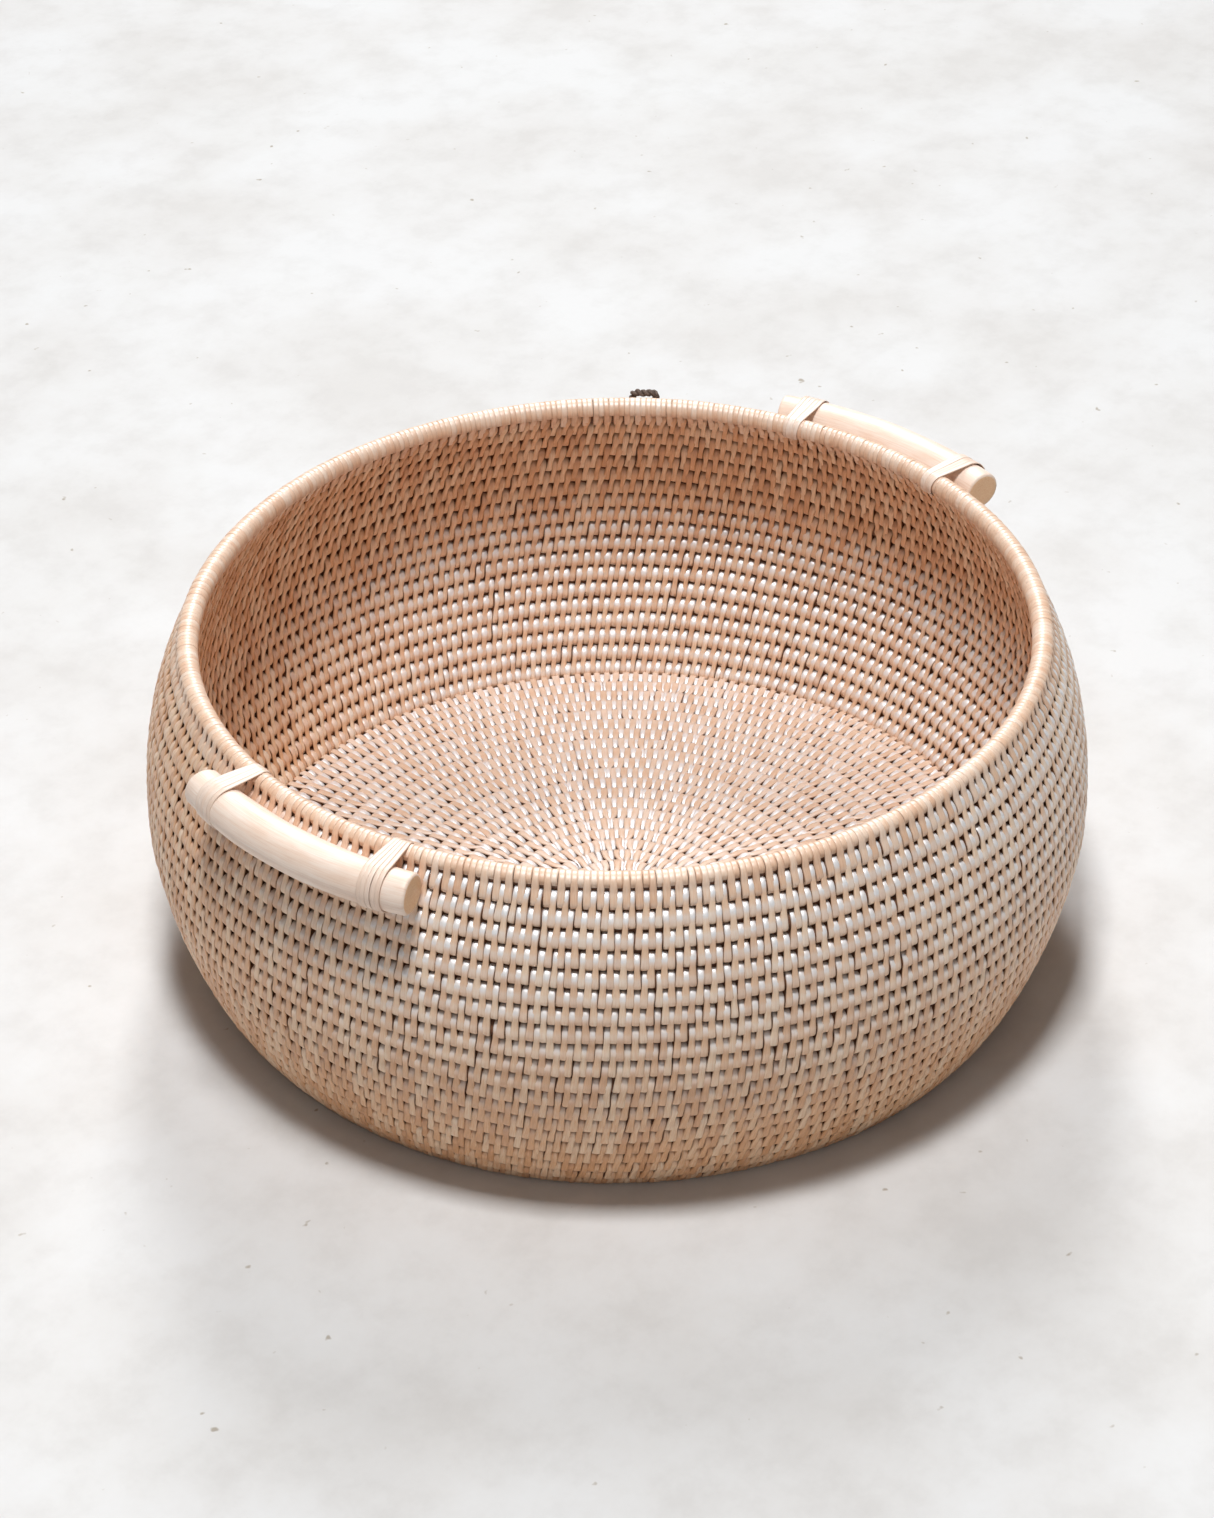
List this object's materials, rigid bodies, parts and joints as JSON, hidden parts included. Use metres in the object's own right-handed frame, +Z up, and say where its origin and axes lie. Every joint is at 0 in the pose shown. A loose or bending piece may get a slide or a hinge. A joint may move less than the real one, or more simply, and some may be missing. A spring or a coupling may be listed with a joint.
{
  "type": "winnowing basket",
  "caption": "Round bellied rattan basket of stitched coil, open at the top, with a wrapped rim and a curved cane pole lashed outside the rim on each side as a handle.",
  "frame": {"origin": "centre of the foot, on the ground", "axes": "+Z up through the opening; the two handle poles lie across the X axis, one at +X and one at -X"},
  "size_m": [0.5084, 0.5, 0.1994],
  "materials": {
    "rattan_rod": "matte dry cane core",
    "rattan_strip": "dry split cane, whitewashed, matte with a slight sheen",
    "rim_strip": "split cane skin, satin",
    "peeled_pole": "peeled cane pole, smooth satin",
    "lashing_strip": "thin split cane skin, satin",
    "twine": "two-ply twisted twine, matte"
  },
  "bodies": {
    "root": {"wall_coil_rod": "rattan_rod", "floor_coil_rod": "rattan_rod", "rim_rod": "rattan_rod", "wall_stitching_lower": "rattan_strip", "wall_stitching_belly": "rattan_strip", "wall_stitching_shoulder": "rattan_strip", "floor_stitching": "rattan_strip", "rim_wrapping": "rim_strip", "handle_pole_left": "peeled_pole", "handle_pole_right": "peeled_pole", "lashing_left_a": "lashing_strip", "lashing_left_b": "lashing_strip", "lashing_right_a": "lashing_strip", "lashing_right_b": "lashing_strip", "twine_loop": "twine"}
  },
  "joints": []
}
